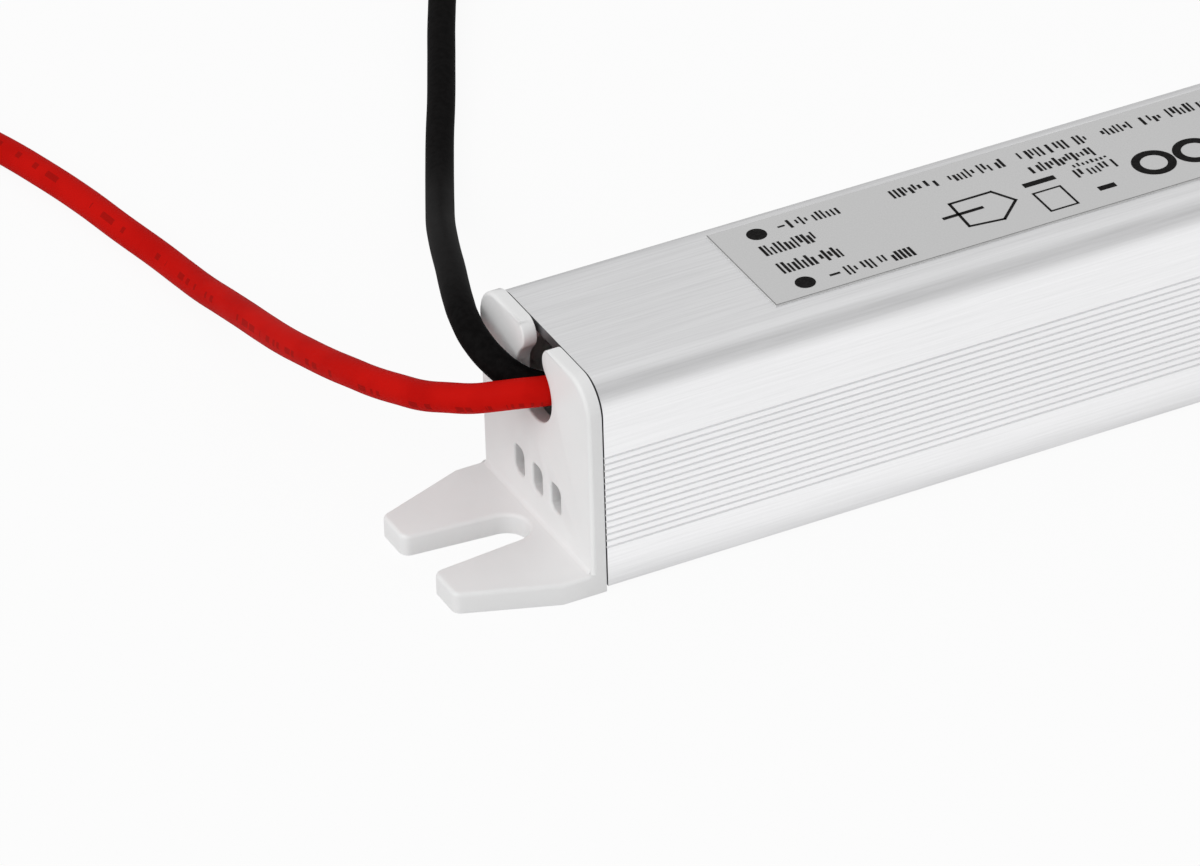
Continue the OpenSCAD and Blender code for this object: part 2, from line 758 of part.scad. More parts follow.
// Dual in-line package with n legs on each side
module dip(x, y, l, places) {
    z = board_top + dip_lift;
    difference() {
        translate([x - l / 2, y - dip_w / 2, z]) cube([l, dip_w, dip_h]);
        translate([x - l / 2, y, z + dip_h - 0.4]) cylinder(d = 1.4, h = 0.4 + cut);
    }
    for (p = places) {
        s = p.y > y ? 1 : -1;
        translate([p.x - blade_w / 2, p.y - blade_t / 2, board_z])
            cube([blade_w, blade_t, z + dip_h / 2 - board_z]);
        translate([p.x - blade_w / 2, min(p.y + s * blade_t / 2, y), z + dip_h / 2 - blade_t])
            cube([blade_w, dip_row / 2 + blade_t / 2, blade_t]);
    }
}

// Surface-mounted package with feet that lie on the board
module flat_package(x, y, size) {
    lift = foot_h / 2;
    translate([x, y, board_top]) {
        difference() {
            translate([-size[0] / 2, -size[1] / 2, lift]) cube([size[0], size[1], size[2]]);
            translate([-size[0] / 3, -size[1] / 4, lift + size[2] - foot_h / 2])
                cylinder(d = size[1] / 6, h = foot_h + cut);
        }
        for (i = [0 : size[4] - 1], s = [0, 1]) {
            mirror([0, s, 0]) translate([(i - (size[4] - 1) / 2) * size[5] - foot_w / 2, size[1] / 2, 0]) {
                cube([foot_w, size[3] - size[1] / 2, foot_h]);
                translate([0, -root, 0]) cube([foot_w, foot_rise + root, lift + size[2] / 2]);
            }
        }
    }
}

module optocoupler() {
    color("#e8e6df") flat_package(opto_x, opto_y, opto_size);
}

module controller_chip() {
    color("#232326") flat_package(chip_x, 0, chip_size);
}

module bridge_rectifier() {
    color("#1f1f22") dip(bridge_x, 0, bridge_l, bridge_legs);
}

// Dipped disc on edge over two legs, thin across Y and rounded at its rim
module disc(places, d, t) {
    mid = (places[0] + places[1]) / 2;
    z = board_top + disc_lift + d / 2;
    edge = t * 0.3;
    legs(places, z);
    translate([mid.x, mid.y, z]) rotate([90, 0, 0])
        rotate_extrude() {
            translate([0, -t / 2]) square([d / 2 - edge, t]);
            translate([0, edge - t / 2]) square([d / 2, t - 2 * edge]);
            for (s = [-1, 1]) {
                translate([d / 2 - edge, s * (t / 2 - edge)]) circle(edge);
            }
        }
}

module safety_capacitor() {
    color("#2b6fb0") disc(safety_legs, safety_d, safety_cap_t);
}

module varistor() {
    color("#2462a8") disc(varistor_legs, varistor_dia, disc_t);
}

module thermistor() {
    color("#2c2c2e") disc(thermistor_legs, thermistor_dia, disc_t);
}

// Ferrite core: a square frame with a middle leg along X
module transformer_core() {
    color("#404043")
        translate([transformer_x, 0, core_z])
            difference() {
                cube([ferrite_w, ferrite_w, core_t], center = true);
                for (s = [-1, 1]) {
                    translate([0, s * (leg_w + window_w) / 2, 0])
                        cube([window_len, window_w, core_t + 2 * cut], center = true);
                }
            }
}

// Bobbin: a square tube on the middle leg, two end flanges, and a pin rail under each end
module transformer_bobbin() {
    flange_x = window_len / 2 - bobbin_clear;
    bottom = board_top - core_z;
    rail_gap = 0.05;
    color("#1c1c1e") {
        translate([transformer_x, 0, core_z])
            difference() {
                union() {
                    cube([2 * flange_x, tube_y + 2 * bobbin_wall, tube_h + 2 * bobbin_wall], center = true);
                    for (s = [0, 1]) {
                        mirror([s, 0, 0]) {
                            translate([flange_x - bobbin_flange, -coil_y / 2, bottom])
                                cube([bobbin_flange, coil_y, coil_h / 2 - bottom]);
                            translate([flange_x - bobbin_flange, -pin_rail_w / 2, bottom])
                                cube([yoke_w + bobbin_flange, pin_rail_w, pin_rail_h - rail_gap]);
                        }
                    }
                }
                cube([ferrite_w, tube_y, tube_h], center = true);
            }
        legs(transformer_legs, board_top + root);
    }
}

// Taped winding round the bobbin's tube
module transformer_winding() {
    play = 0.05;
    color("#e0b93a")
        translate([transformer_x - coil_len / 2 + play, 0, core_z]) along_x(coil_len - 2 * play)
            difference() {
                rounded_slot(coil_y, coil_h, coil_t);
                square([tube_y + 2 * bobbin_wall + 2 * play, tube_h + 2 * bobbin_wall + 2 * play], center = true);
            }
}

module snubber_diode() {
    color("#2a2a2d") axial(snub_diode_legs, snub_diode_d, snub_diode_len, []);
}

module snubber_resistor() {
    color("#6f9fb8") axial(snub_res_legs, snub_res_d, snub_res_len, [-1, 1]);
}

// Boxed capacitor with its long side across the board
module box_capacitor(x, l, t, h, places) {
    legs(places, board_top + part_lift + root);
    translate([x - t / 2, -l / 2, board_top + part_lift]) cube([t, l, h]);
}

module snubber_capacitor() {
    color("#b04a2c") box_capacitor(snub_cap_x, snub_cap_len, snub_t, snub_cap_h, snub_cap_legs);
}

module line_capacitor() {
    color("#d8c23c") box_capacitor(line_cap_x, line_box_len, line_box_t, line_box_h, line_cap_legs);
}

// Can that lies along the board, with its legs bent down beyond its base
module bulk_capacitor() {
    z = board_top + part_lift + bulk_dia / 2;
    color("#22263a") {
        translate([bulk_x0 + bulk_l, 0, z]) rotate([0, -90, 0]) can(bulk_dia, bulk_l);
        legs(bulk_legs, z);
        for (p = bulk_legs) {
            translate([bulk_x0 + bulk_l - root, p.y, z])
                rotate([0, 90, 0]) cylinder(d = leg_d + 0.1, h = bend + root + leg_d / 2);
        }
    }
}

// Ferrite frame that stands across the board
module line_choke_core() {
    color("#3c3c3f")
        translate([line_choke_x - line_frame_t / 2, 0, board_top]) along_x(line_frame_t)
            difference() {
                translate([-line_frame_w / 2, 0]) square([line_frame_w, line_frame_h]);
                translate([line_bar - line_frame_w / 2, line_bar])
                    square([line_frame_w - 2 * line_bar, line_window_h]);
            }
}

// Two coils round the upright bars of the frame
module line_choke_windings() {
    coil_x = line_frame_t + 2 * line_wire_t;
    coil_w = line_bar + 2 * line_wire_t;
    low = board_top + line_bar + coil_clear;
    color("#b8783c") {
        for (s = [-1, 1]) {
            translate([line_choke_x, s * line_leg_y, low])
                linear_extrude(line_window_h - 2 * coil_clear)
                    difference() {
                        rounded_slot(coil_x, coil_w, line_wire_t);
                        square([line_frame_t + 2 * coil_clear, line_bar + 2 * coil_clear], center = true);
                    }
        }
        legs(line_choke_legs, low + root);
    }
}

module fuse() {
    color("#d9d4c4") axial(fuse_legs, fuse_dia, fuse_l, [-1, 1]);
}

// Tube of rings along a lead's route, closed at both ends
module lead(path) {
    rings = len(path);
    points = [for (i = [0 : rings - 1]) each ring(path, i, lead_d / 2)];
    walls = [
        for (i = [0 : rings - 2], k = [0 : lead_sides - 1])
            let (
                a = i * lead_sides + k,
                b = i * lead_sides + (k + 1) % lead_sides
            )
            each [[a, b, b + lead_sides], [a, b + lead_sides, a + lead_sides]]
    ];
    first = [for (k = [lead_sides - 1 : -1 : 0]) k];
    last = [for (k = [0 : lead_sides - 1]) (rings - 1) * lead_sides + k];
    translate(lead_origin) polyhedron(points, concat([first], walls, [last]));
}

// Tinned strands at the free end of a lead
module lead_tip(path) {
    n = len(path) - 1;
    t = direction(path, n);
    translate(lead_origin + path[n])
        rotate([0, 0, atan2(t.y, t.x)]) rotate([0, 90, 0]) cylinder(d = core_d, h = strip_len);
}

module red_lead() {
    color("#c01812") lead(red_route);
}

module red_lead_tip() {
    color("#c4c6c8") lead_tip(red_route);
}

module black_lead() {
    color("#161514") lead(black_route);
}

module black_lead_tip() {
    color("#c4c6c8") lead_tip(black_route);
}

housing();
output_end_cap();
input_end_cap();
rating_label();
insulating_sheet();
circuit_board();
solder_joints();
lead_tails();
output_capacitor_a();
output_capacitor_b();
output_choke_core();
output_choke_winding();
output_rectifier();
optocoupler();
safety_capacitor();
transformer_core();
transformer_bobbin();
transformer_winding();
controller_chip();
snubber_diode();
snubber_resistor();
snubber_capacitor();
bulk_capacitor();
bridge_rectifier();
line_choke_core();
line_choke_windings();
line_capacitor();
varistor();
thermistor();
fuse();
red_lead();
red_lead_tip();
black_lead();
black_lead_tip();
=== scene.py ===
import bpy
import json
import math
import random
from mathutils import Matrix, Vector
from mathutils.geometry import interpolate_bezier


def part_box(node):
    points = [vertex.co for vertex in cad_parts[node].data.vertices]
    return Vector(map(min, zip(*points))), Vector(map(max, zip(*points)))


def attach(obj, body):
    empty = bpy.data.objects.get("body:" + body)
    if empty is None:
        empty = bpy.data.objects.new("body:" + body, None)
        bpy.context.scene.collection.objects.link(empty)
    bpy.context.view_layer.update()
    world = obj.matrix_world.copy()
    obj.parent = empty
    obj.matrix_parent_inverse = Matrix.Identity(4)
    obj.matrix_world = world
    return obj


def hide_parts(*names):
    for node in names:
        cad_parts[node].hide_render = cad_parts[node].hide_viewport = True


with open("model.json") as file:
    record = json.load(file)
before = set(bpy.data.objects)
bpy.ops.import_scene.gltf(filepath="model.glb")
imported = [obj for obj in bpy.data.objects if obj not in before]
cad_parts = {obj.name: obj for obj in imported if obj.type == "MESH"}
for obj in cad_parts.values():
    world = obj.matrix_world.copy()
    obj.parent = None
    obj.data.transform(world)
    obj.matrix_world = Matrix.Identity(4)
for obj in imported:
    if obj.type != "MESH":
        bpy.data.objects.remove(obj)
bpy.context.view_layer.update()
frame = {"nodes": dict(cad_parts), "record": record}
nodes = frame["nodes"]
mm = 0.001
perMetre = 1000  # over a size in mm, the scale of a texture
endX = 80 * mm  # half the tube; leads and print are measured from its output end
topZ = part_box("rating_label")[1][2]
print("frame loaded,", len(nodes), "nodes")


# small helpers

def toLinear(hexText):
    values = [int(hexText[i:i + 2], 16) / 255 for i in (1, 3, 5)]
    return [v / 12.92 if v <= 0.04045 else ((v + 0.055) / 1.055) ** 2.4 for v in values] + [1.0]


def addNode(tree, kind, inputs=None, **settings):
    node = tree.nodes.new(kind)
    for name, value in settings.items():
        setattr(node, name, value)
    for name, value in (inputs or {}).items():
        if isinstance(value, bpy.types.NodeSocket):
            tree.links.new(value, node.inputs[name])
        else:
            node.inputs[name].default_value = value
    return node


def addMath(tree, operation, *values):
    node = addNode(tree, "ShaderNodeMath", dict(enumerate(values)), operation=operation)
    return node.outputs["Value"]


def addRange(tree, value, low, high, start=0.0, end=1.0):
    node = addNode(tree, "ShaderNodeMapRange", {
        "Value": value, "From Min": low, "From Max": high, "To Min": start, "To Max": end})
    return node.outputs["Result"]


def addNoise(tree, place, size, detail=2.0):
    node = addNode(tree, "ShaderNodeTexNoise", {
        "Vector": place, "Scale": perMetre / size, "Detail": detail})
    return node.outputs["Fac"]


# colour sockets of this node: inputs 6 and 7, output 2
def addBlend(tree, share, first, second):
    node = addNode(tree, "ShaderNodeMix", {0: share, 6: first, 7: second}, data_type="RGBA")
    return node.outputs[2]


def setRamp(node, stops):
    ramp = node.color_ramp
    while len(ramp.elements) < len(stops):
        ramp.elements.new(1.0)
    for element, (place, colour) in zip(ramp.elements, stops):
        element.position = place
        element.color = colour


def addTone(tree, value, dark, pale, low=0.35, high=0.65):
    node = addNode(tree, "ShaderNodeValToRGB", {"Fac": value})
    setRamp(node, [(low, toLinear(dark)), (high, toLinear(pale))])
    return node.outputs["Color"]


def addBump(tree, shader, height, strength, depth):
    node = addNode(tree, "ShaderNodeBump", {
        "Height": height, "Strength": strength, "Distance": depth * mm})
    tree.links.new(node.outputs["Normal"], shader.inputs["Normal"])


def newMaterial(name, **sockets):
    material = bpy.data.materials.new(name)
    material.use_nodes = True
    shader = material.node_tree.nodes["Principled BSDF"]
    for label, value in sockets.items():
        shader.inputs[label.replace("_", " ")].default_value = value
    return material, material.node_tree, shader


def paint(obj, material):
    obj.data.materials.clear()
    obj.data.materials.append(material)


def setMode(mode):
    bpy.ops.object.mode_set(mode=mode)


def pick(obj):
    if bpy.context.object and bpy.context.object.mode != "OBJECT":
        setMode("OBJECT")
    bpy.ops.object.select_all(action="DESELECT")
    obj.select_set(True)
    bpy.context.view_layer.objects.active = obj


# no corner, edge or face of the active mesh stays selected
def clearMesh(kind=None):
    setMode("EDIT")
    if kind:
        bpy.ops.mesh.select_mode(type=kind)
    bpy.ops.mesh.select_all(action="DESELECT")
    setMode("OBJECT")


def smooth(degrees):
    bpy.ops.object.shade_smooth_by_angle(angle=math.radians(degrees))


def copySolid(node, name):
    copy = bpy.data.objects.new(name, nodes[node].data.copy())
    bpy.context.scene.collection.objects.link(copy)
    pick(copy)
    return copy


def settle(obj, name):
    pick(obj)
    bpy.ops.object.transform_apply(location=True, rotation=True, scale=True)
    obj.name = name
    obj.data.name = name


def joinAll(objects, name):
    pick(objects[0])
    for obj in objects:
        obj.select_set(True)
    bpy.ops.object.join()
    joined = bpy.context.object
    settle(joined, name)
    return joined


# camera, at the photograph's view

shot = {
    "place": (-342.98, -541.75, 404.31), "turn": (56.704, 1.4934, -27.2263),
    "lens": 281.35, "sensor": 36, "nearest": 0.01, "farthest": 50,
}
camera = bpy.data.objects.new("camera", bpy.data.cameras.new("camera"))
bpy.context.scene.collection.objects.link(camera)
camera.data.sensor_fit = "HORIZONTAL"
camera.data.sensor_width = shot["sensor"]
camera.data.lens = shot["lens"]
camera.data.clip_start = shot["nearest"]
camera.data.clip_end = shot["farthest"]
camera.location = [v * mm for v in shot["place"]]
camera.rotation_euler = [math.radians(a) for a in shot["turn"]]
bpy.context.scene.camera = camera
print("camera set")


# output leads

leads = {
    "diameter": 2.4,
    "roundness": 6,
    "steps": 8,
    "smooth": 40,
    # where each leaves the cap
    "face": 1.4,
    "exitY": {"red_lead": -1.3, "black_lead": 1.5},
    "exitZ": 14,
    # bare end: one strand with six round it, so three across the core
    "strip": 7,
    "core": 1.1,
    "strands": 7,
    "strandSides": 10,
    "strandCuts": 18,
    "twist": 270,
    "red": [
        (14, -2.5, 6), (14, -2.5, 8), (13.3, -2.5, 10.6), (11.4, -2.5, 12.7), (8.5, -2.4, 13.8),
        (5, -2.4, 14.1), (2.5, -2.1, 14.2), (0.5, -1.8, 14.2), (-1.2, -1.3, 14.1), (-2.8, -0.6, 14),
        (-4.3, 0.5, 13.6), (-5.6, 2.1, 12.9), (-6.8, 4, 12.3), (-7.8, 6.3, 11.5), (-8.6, 9, 10.8),
        (-9.3, 11.8, 10.1), (-9.8, 14.8, 9.4), (-10.1, 18, 8.5), (-10.3, 22, 7.4), (-10.3, 26, 6.2),
        (-10.1, 30.4, 4.9), (-9.9, 34.8, 3.7), (-9.8, 39, 2.6), (-9.9, 42.8, 1.8), (-10.1, 46.2, 1.4),
        (-10.5, 50, 1.2), (-11.4, 55, 1.2), (-12.3, 60.5, 1.2), (-13.5, 66, 1.2), (-15, 71.5, 1.2),
        (-17, 77, 1.2), (-19.5, 82.5, 1.2), (-22.5, 88, 1.2), (-26, 93, 1.2), (-30, 97.5, 1.2),
        (-34.5, 101.5, 1.2), (-39, 105.5, 1.2), (-43.5, 109.5, 1.2), (-48, 113.5, 1.2),
    ],
    "black": [
        (14, 2.5, 6), (14, 2.5, 7.4), (13.4, 2.4, 9.5), (11.9, 2, 11.3), (9.6, 1.4, 12.3),
        (7.3, 0.9, 12.5), (5.2, 0.4, 12.5), (3.1, 0.1, 12.5), (1.3, 0.3, 12.7), (-0.5, 0.8, 13.1),
        (-2, 1.8, 13.8), (-3, 3.4, 14.7), (-3.4, 5.7, 15.5), (-3, 8.5, 15.8), (-2, 11.6, 15.4),
        (-0.6, 15.2, 14.4), (1.3, 19.8, 12.8), (3.6, 25.4, 10.6), (6, 31, 8.2), (8.4, 36.4, 5.8),
        (10.9, 41.7, 3.7), (13.2, 46.5, 2.1), (15.1, 50.4, 1.4), (17.5, 55.2, 1.2), (20, 60, 1.2),
        (23, 66, 1.2), (26, 72, 1.2), (29, 77.5, 1.2), (32.5, 82.5, 1.2), (36.5, 87, 1.2), (41, 91, 1.2),
        (46, 94, 1.2), (51.5, 96, 1.2), (57.5, 97.5, 1.2), (63.5, 98.5, 1.2),
    ],
}


def makeLead(name, route):
    data = bpy.data.curves.new(name, "CURVE")
    data.dimensions = "3D"
    data.bevel_depth = leads["diameter"] / 2 * mm
    data.bevel_resolution = leads["roundness"]
    data.resolution_u = leads["steps"]
    data.use_fill_caps = True
    line = data.splines.new("BEZIER")
    line.bezier_points.add(len(route) - 1)
    for knot, (x, y, z) in zip(line.bezier_points, route):
        knot.co = (x * mm - endX, y * mm, z * mm)
        knot.handle_left_type = "AUTO"
        knot.handle_right_type = "AUTO"
    lead = bpy.data.objects.new(name, data)
    bpy.context.scene.collection.objects.link(lead)
    path = [line.bezier_points[0].co.copy()]
    bpy.context.view_layer.update()
    for a, b in zip(line.bezier_points, line.bezier_points[1:]):
        path += interpolate_bezier(a.co, a.handle_right, b.handle_left, b.co, leads["steps"] + 1)[1:]
    pick(lead)
    bpy.ops.object.convert(target="MESH")
    smooth(leads["smooth"])
    return bpy.context.object, [tuple(p) for p in path]


def pathLength(path):
    return sum(math.dist(a, b) for a, b in zip(path, path[1:]))


# tinned strands with a slow twist
def makeTip(name, route):
    end = Vector(route[-1]) * mm - Vector((endX, 0, 0))
    heading = Vector(route[-1]) - Vector(route[-2])
    radius = leads["core"] / 6 * mm
    outer = leads["strands"] - 1
    strands = []
    for i in range(leads["strands"]):
        ring = 0 if i == outer else 2 * radius
        angle = math.radians(360 / outer * i)
        bpy.ops.object.select_all(action="DESELECT")
        bpy.ops.mesh.primitive_cylinder_add(
            vertices=leads["strandSides"], radius=radius, depth=leads["strip"] * mm,
            location=(ring * math.cos(angle), ring * math.sin(angle), leads["strip"] / 2 * mm))
        strand = bpy.context.object
        clearMesh()
        for edge in strand.data.edges:
            a, b = (strand.data.vertices[v].co for v in edge.vertices)
            edge.select = abs(a.z - b.z) > radius
        setMode("EDIT")
        bpy.ops.mesh.subdivide(number_cuts=leads["strandCuts"])
        setMode("OBJECT")
        strands.append(strand)
    tip = joinAll(strands, name)
    twist = tip.modifiers.new("twist", "SIMPLE_DEFORM")
    twist.deform_method = "TWIST"
    twist.deform_axis = "Z"
    twist.angle = math.radians(leads["twist"])
    bpy.ops.object.modifier_apply(modifier="twist")
    tip.rotation_euler = heading.to_track_quat("Z", "Y").to_euler()
    tip.location = end
    settle(tip, name)
    smooth(leads["smooth"])
    return tip


redLead, redPath = makeLead("red_lead_cord", leads["red"])
blackLead, blackPath = makeLead("black_lead_cord", leads["black"])
redTip = makeTip("red_lead_strands", leads["red"])
blackTip = makeTip("black_lead_strands", leads["black"])
for lead, tip, path, node in (
        (redLead, redTip, redPath, "red_lead"), (blackLead, blackTip, blackPath, "black_lead")):
    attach(lead, "root")
    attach(tip, "root")
    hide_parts(node)
    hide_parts(node + "_tip")
print("leads", round(pathLength(redPath), 4), round(pathLength(blackPath), 4))


# tube: on a copy of the solid the grooves are closed up to the thin lines that the eye sees

tube = {
    "grooves": 15, "lowest": 3.8, "pitch": 0.58, "floorY": 8.7, "closeUp": 0.64,
    "merge": 0.001, "smooth": 25,
}


def makeTube():
    piece = copySolid("housing", "housing_fine")
    bpy.ops.mesh.customdata_custom_splitnormals_clear()
    setMode("EDIT")
    bpy.ops.mesh.select_mode(type="VERT")
    bpy.ops.mesh.select_all(action="SELECT")
    bpy.ops.mesh.remove_doubles(threshold=tube["merge"] * mm)
    for i in range(tube["grooves"]):
        middle = (tube["lowest"] + i * tube["pitch"]) * mm
        bpy.ops.mesh.select_all(action="DESELECT")
        setMode("OBJECT")
        for vertex in piece.data.vertices:
            near = abs(vertex.co.z - middle) < tube["pitch"] / 2 * mm
            vertex.select = near and abs(vertex.co.y) > tube["floorY"] * mm
        setMode("EDIT")
        bpy.ops.transform.resize(value=(1, 1, tube["closeUp"]), center_override=(0, 0, middle))
    setMode("OBJECT")
    smooth(tube["smooth"])
    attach(piece, "root")
    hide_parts("housing")
    return piece


tubePiece = makeTube()
print("grooves closed up")


# end caps: the moulding's edges are softened on a copy of the solid

caps = {
    "merge": 0.02, "flat": 0.3, "sharp": 38, "smooth": 32,
    # the foot's sides are cut here, so that only the part clear of the wall is rounded
    "cut": 1.84,
    # rounds on foot, vents and notch: spans outward from the tube, from the middle and in height,
    # then width and segments
    "rounds": [
        ((1.82, 99), (-1, 99), (1.78, 1.82), 0.52, 5),
        ((1.38, 1.42), (-1, 5.5), (3.5, 7), 0.2, 3),
        ((1.38, 1.42), (-1, 3.2), (10, 99), 0.15, 3),
    ],
}


def inside(point, spans):
    sizes = ((abs(point.x) - endX) / mm, abs(point.y) / mm, point.z / mm)
    return all(low < size < high for size, (low, high) in zip(sizes, spans))


def softenEdges(obj, spans, width, segments):
    pick(obj)
    setMode("EDIT")
    bpy.ops.mesh.select_mode(type="EDGE")
    bpy.ops.mesh.select_all(action="DESELECT")
    bpy.ops.mesh.edges_select_sharp(sharpness=math.radians(caps["sharp"]))
    setMode("OBJECT")
    sharp = [edge.index for edge in obj.data.edges if edge.select]
    clearMesh()
    for index in sharp:
        edge = obj.data.edges[index]
        edge.select = all(inside(obj.data.vertices[v].co, spans) for v in edge.vertices)
    setMode("EDIT")
    bpy.ops.mesh.bevel(
        offset=width * mm, offset_type="OFFSET", segments=segments, profile=0.5, clamp_overlap=True)
    setMode("OBJECT")


def makeCap(node):
    cap = copySolid(node, node + "_soft")
    setMode("EDIT")
    bpy.ops.mesh.select_all(action="SELECT")
    bpy.ops.mesh.remove_doubles(threshold=caps["merge"] * mm)
    bpy.ops.mesh.dissolve_limited(angle_limit=math.radians(caps["flat"]))
    bpy.ops.mesh.select_all(action="SELECT")
    outward = -1 if node == "output_end_cap" else 1
    bpy.ops.mesh.bisect(plane_co=(outward * (endX + caps["cut"] * mm), 0, 0), plane_no=(1, 0, 0))
    setMode("OBJECT")
    for *spans, width, segments in caps["rounds"]:
        softenEdges(cap, spans, width, segments)
    pick(cap)
    smooth(caps["smooth"])
    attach(cap, "root")
    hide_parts(node)
    return cap


capPieces = [makeCap("output_end_cap"), makeCap("input_end_cap")]
print("end caps softened")


# label print: dots, ticks, bars and plain outlines, in mm from the output end

label = {
    "thick": 0.02,
    # discs: middle, radius
    "dots": [(20.4, 4.5, 0.82), (20.4, -3.45, 0.82), (139.6, 4.5, 0.82), (139.6, -3.45, 0.82)],
    "discSides": 40,
    # rows of ticks: from, to, lowest, tick height
    "rows": [
        (23.2, 27.9, 4.0, 1.2), (19.6, 24.2, 1.3, 1.5), (19.6, 24.9, -1.6, 1.6), (23.9, 30.3, -4.2, 1.3),
        (32.2, 36.4, 3.8, 1.2), (37.3, 42.2, 3.7, 1.3), (43.6, 48.0, 3.7, 1.3), (48.6, 50.0, 3.7, 1.3),
        (51, 54, 3.8, 1.1), (54.6, 56.4, 3.7, 1.2), (57, 60.6, 3.7, 1.3), (61.4, 66.6, 3.7, 1.3),
        (43.4, 49.4, 1.7, 1.3), (46.2, 49.8, -0.6, 1.2), (46.6, 49.6, 0.9, 0.5),
        (72, 86, 3.6, 1.3), (72, 84, 1.4, 1.3), (72, 88, -0.8, 1.3), (72, 81, -3, 1.3),
        (92, 108, 3.6, 1.3), (92, 104, 1.4, 1.3), (92, 110, -0.8, 1.3), (92, 102, -3, 1.3),
        (116, 130, 3.6, 1.3), (116, 127, 1.4, 1.3), (130, 137, -1.2, 1.3),
    ],
    # a tick's width and its step as shares of the pitch, its ends as shares of its height
    "pitch": 0.4,
    "seed": 5,
    "widths": (0.42, 0.5, 0.62),
    "steps": (1, 1, 1, 1, 1.7),
    "feet": (0, 0, 0, 0.3),
    "heads": (0.7, 0.76, 1, 1),
    # solid bars: from, to, lowest, highest
    "bars": [
        (22.3, 22.9, 4.5, 4.7), (22.5, 23.4, -3.65, -3.4), (41.8, 44.6, 0.15, 0.75),
        (34.0, 37.6, -0.85, -0.5), (46.7, 48.2, -3.1, -2.5), (116, 128, -3.6, -3.3),
    ],
    # plain outlines: points, line width
    "outlines": [
        ([(35.5, 1.0), (39.2, 1.0), (40.3, -1.0), (38.2, -3.0), (35.3, -2.6)], 0.24),
        ([(41.9, -0.9), (44.3, -0.9), (44.3, -3.8), (41.9, -3.8)], 0.18),
    ],
    # plain rings: middle, outer radius, inner radius
    "rings": [(52.4, -1.5, 1.8, 1.1), (56.1, -1.5, 1.8, 1.1)],
    "edge": 0.09,
}


def onLabel(x, y):
    return (x * mm - endX, y * mm, topZ + label["thick"] / 2 * mm)


def addTick(x0, x1, y0, y1):
    bpy.ops.mesh.primitive_cube_add(
        size=1, location=onLabel((x0 + x1) / 2, (y0 + y1) / 2),
        scale=((x1 - x0) * mm, (y1 - y0) * mm, label["thick"] * mm))
    return bpy.context.object


def addDisc(x, y, outer, inner=0):
    bpy.ops.mesh.primitive_cylinder_add(
        vertices=label["discSides"], radius=outer * mm, depth=label["thick"] * mm,
        location=onLabel(x, y))
    disc = bpy.context.object
    if inner:
        clearMesh("FACE")
        for face in disc.data.polygons:
            face.select = abs(face.normal.z) > 0.9
        setMode("EDIT")
        bpy.ops.mesh.inset(thickness=(outer - inner) * mm, use_individual=True)
        bpy.ops.mesh.bridge_edge_loops()
        setMode("OBJECT")
    return disc


def addLine(a, b, width):
    long = math.dist(a, b)
    tick = addTick(-long / 2, long / 2 + width, -width / 2, width / 2)
    tick.location = onLabel((a[0] + b[0]) / 2, (a[1] + b[1]) / 2)
    tick.rotation_euler.z = math.atan2(b[1] - a[1], b[0] - a[0])
    return tick


def makePrint():
    chance = random.Random(label["seed"])
    parts = []
    for x0, x1, y0, high in label["rows"]:
        x = x0
        while x < x1 - label["pitch"] / 2:
            wide = label["pitch"] * chance.choice(label["widths"])
            low = y0 + high * chance.choice(label["feet"])
            parts.append(addTick(x, x + wide, low, y0 + high * chance.choice(label["heads"])))
            x += label["pitch"] * chance.choice(label["steps"])
    for bar in label["bars"]:
        parts.append(addTick(*bar))
    for points, width in label["outlines"]:
        for a, b in zip(points, points[1:] + points[:1]):
            parts.append(addLine(a, b, width))
    for disc in label["dots"] + label["rings"]:
        parts.append(addDisc(*disc))
    return joinAll(parts, "label_print")


# thin grey line where the cut edge of the foil catches the shade, on the ends and the near side
def makeLabelEdge():
    low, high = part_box("rating_label")
    x0, x1 = (low[0] + endX) / mm, (high[0] + endX) / mm
    y0, y1 = low[1] / mm, high[1] / mm
    wide = label["edge"]
    sides = [
        (x0, x0 + wide, y0, y1), (x1 - wide, x1, y0, y1), (x0 + wide, x1 - wide, y0, y0 + wide)]
    return joinAll([addTick(*side) for side in sides], "label_edge_line")


labelPrint = makePrint()
labelEdge = makeLabelEdge()
for piece in (labelPrint, labelEdge):
    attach(piece, "root")
print("label printed")


# materials: sizes in mm, a bump as strength and depth

# extruded aluminium, etched and clear anodised: pale, matt, with fine draw lines along the tube
aluminium = {
    "pale": "#FCFCFD", "grey": "#F2F2F3", "sawnEndAndShade": "#8E8E90",
    "lineWidth": 0.2, "lineLength": 9, "toneSpan": (0.3, 0.68),
    "rough": (0.34, 0.46), "roughSpan": (0.3, 0.7), "bump": (0.12, 0.02),
    # the end faces take a dark grey, partly the dull bare sawn metal and partly painted shade; it begins
    # and is full where the surface faces this far along the tube
    "endOn": (0.8, 0.95),
}


